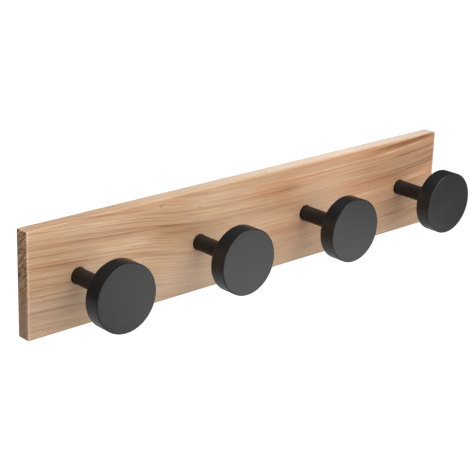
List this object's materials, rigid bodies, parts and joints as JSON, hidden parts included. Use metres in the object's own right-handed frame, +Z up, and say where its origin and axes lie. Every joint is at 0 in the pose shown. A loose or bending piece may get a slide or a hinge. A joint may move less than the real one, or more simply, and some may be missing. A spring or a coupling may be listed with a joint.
{
  "type": "wall hook rack",
  "caption": "Flat rectangular wood board with a row of round black disc knobs on short round stems, hung on keyhole plates let into its back.",
  "frame": {"origin": "middle of the board's back face, where it meets the wall", "axes": "+X along the board to the right as seen from the front, +Y out of the back into the wall, +Z up"},
  "size_m": [0.5, 0.079, 0.095],
  "materials": {
    "wood": "light brown hardwood, thinly oiled, straight grain with brown streaks",
    "black_head": "satin black powder coat over turned aluminium",
    "black_stem": "satin black powder coat over a steel bar",
    "zinc_washer": "zinc plated",
    "zinc_screw": "zinc plated",
    "zinc_plate": "zinc plated, stamped"
  },
  "bodies": {
    "root": {"board": "wood", "knob_head_1": "black_head", "knob_head_2": "black_head", "knob_head_3": "black_head", "knob_head_4": "black_head", "knob_stem_1": "black_stem", "knob_stem_2": "black_stem", "knob_stem_3": "black_stem", "knob_stem_4": "black_stem", "stem_washer_1": "zinc_washer", "stem_washer_2": "zinc_washer", "stem_washer_3": "zinc_washer", "stem_washer_4": "zinc_washer", "stem_screw_1": "zinc_screw", "stem_screw_2": "zinc_screw", "stem_screw_3": "zinc_screw", "stem_screw_4": "zinc_screw", "hanger_plate_left": "zinc_plate", "hanger_plate_right": "zinc_plate", "hanger_screw_left_upper": "zinc_screw", "hanger_screw_left_lower": "zinc_screw", "hanger_screw_right_upper": "zinc_screw", "hanger_screw_right_lower": "zinc_screw"}
  },
  "joints": []
}
